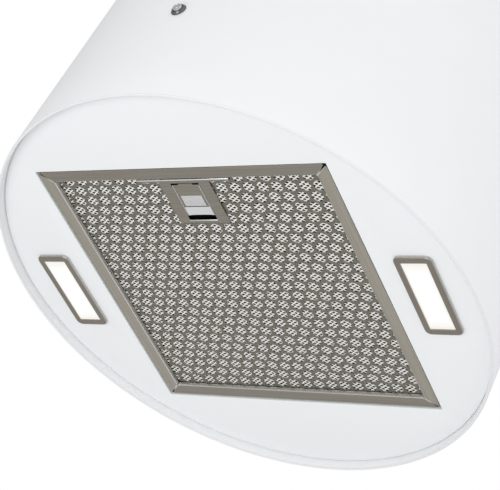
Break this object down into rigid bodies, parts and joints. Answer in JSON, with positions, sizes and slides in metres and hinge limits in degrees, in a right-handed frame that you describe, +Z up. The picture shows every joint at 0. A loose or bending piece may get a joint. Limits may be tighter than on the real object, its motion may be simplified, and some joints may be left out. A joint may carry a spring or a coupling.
{
  "type": "island range hood",
  "caption": "White cylindrical ceiling-hung range hood with a recessed glass underside, a square drop-down grease filter with a latch, rectangular lamps, a push button and an enclosed blower.",
  "frame": {"origin": "centre of the ceiling plate's top face, where the hood meets the ceiling", "axes": "+Z up into the ceiling, -Y to the front where the button and the filter latch are, +X to the right seen from the front"},
  "size_m": [0.395, 0.3994, 0.62],
  "materials": {
    "white_paint": "smooth satin white powder coat",
    "white_glass": "glossy glass painted white behind",
    "filter_steel": "brushed, warm grey",
    "mesh_aluminium": "bright expanded mesh",
    "lamp_steel": "satin, warm grey",
    "polished_chrome": "polished",
    "zinc_steel": "zinc coated",
    "flap_aluminium": "plain rolled",
    "lamp_diffuser": "lit white diffuser",
    "grey_plastic": "moulded grey",
    "black_plastic": "moulded black",
    "white_plastic": "moulded white",
    "circuit_board": "green solder mask"
  },
  "bodies": {
    "hood": {"tube_shell": "white_paint", "bottom_glass": "white_glass", "lamp_bezel_left": "lamp_steel", "lamp_bezel_right": "lamp_steel", "button_bezel": "polished_chrome", "button_nut": "polished_chrome", "damper_pin": "polished_chrome", "shell_screw_1": "polished_chrome", "shell_screw_2": "polished_chrome", "shell_screw_3": "polished_chrome", "shell_screw_4": "polished_chrome", "ceiling_plate": "zinc_steel", "support_angle_1": "zinc_steel", "support_angle_2": "zinc_steel", "support_angle_3": "zinc_steel", "support_angle_4": "zinc_steel", "base_pan": "zinc_steel", "filter_collar": "zinc_steel", "blower_shelf": "zinc_steel", "scroll_wrap": "zinc_steel", "scroll_side_left": "zinc_steel", "scroll_side_right": "zinc_steel", "motor_body": "zinc_steel", "motor_bracket": "zinc_steel", "lamp_lens_left": "lamp_diffuser", "lamp_lens_right": "lamp_diffuser", "lamp_can_left": "grey_plastic", "lamp_can_right": "grey_plastic", "control_box": "grey_plastic", "control_lid": "grey_plastic", "button_switch": "black_plastic", "duct_collar": "black_plastic", "cable_gland": "black_plastic", "gland_nut": "black_plastic", "led_driver": "white_plastic", "terminal_block": "white_plastic", "led_board_left": "circuit_board", "led_board_right": "circuit_board", "control_board": "circuit_board"},
    "filter": {"filter_rail_front": "filter_steel", "filter_rail_rear": "filter_steel", "filter_rail_left": "filter_steel", "filter_rail_right": "filter_steel", "filter_front_sheet": "filter_steel", "filter_mesh": "mesh_aluminium", "filter_back_sheet": "filter_steel", "filter_tab_left": "filter_steel", "filter_tab_right": "filter_steel", "latch_plate": "filter_steel", "latch_case": "zinc_steel", "latch_spring_left": "zinc_steel", "latch_spring_right": "zinc_steel"},
    "slider": {"latch_slider": "polished_chrome"},
    "push_button": {"button_cap": "polished_chrome"},
    "impeller": {"impeller_wheel": "grey_plastic", "impeller_shaft": "polished_chrome"},
    "damper_front": {"damper_flap_front": "flap_aluminium"},
    "damper_rear": {"damper_flap_rear": "flap_aluminium"}
  },
  "joints": [
    {"name": "filter_tilt", "type": "hinge", "parent": "hood", "child": "filter", "pos_m": [0, 0.12275, -0.611], "axis": [1, 0, 0], "range_deg": [0, 70]},
    {"name": "latch_slide", "type": "slide", "parent": "filter", "child": "slider", "axis": [0, 1, 0], "range_m": [0, 0.004], "stiffness_N_per_m": 500, "springref_m": -0.002},
    {"name": "button_press", "type": "slide", "parent": "hood", "child": "push_button", "axis": [0, 1, 0], "range_m": [0, 0.0015], "stiffness_N_per_m": 700, "springref_m": -0.001},
    {"name": "impeller_spin", "type": "hinge", "parent": "hood", "child": "impeller", "pos_m": [0, -0.0775, -0.3183], "axis": [1, 0, 0], "continuous": true},
    {"name": "damper_front_swing", "type": "hinge", "parent": "hood", "child": "damper_front", "pos_m": [0, 0, -0.1742], "axis": [-1, 0, 0], "range_deg": [0, 75]},
    {"name": "damper_rear_swing", "type": "hinge", "parent": "hood", "child": "damper_rear", "pos_m": [0, 0, -0.1742], "axis": [1, 0, 0], "range_deg": [0, 75]}
  ]
}
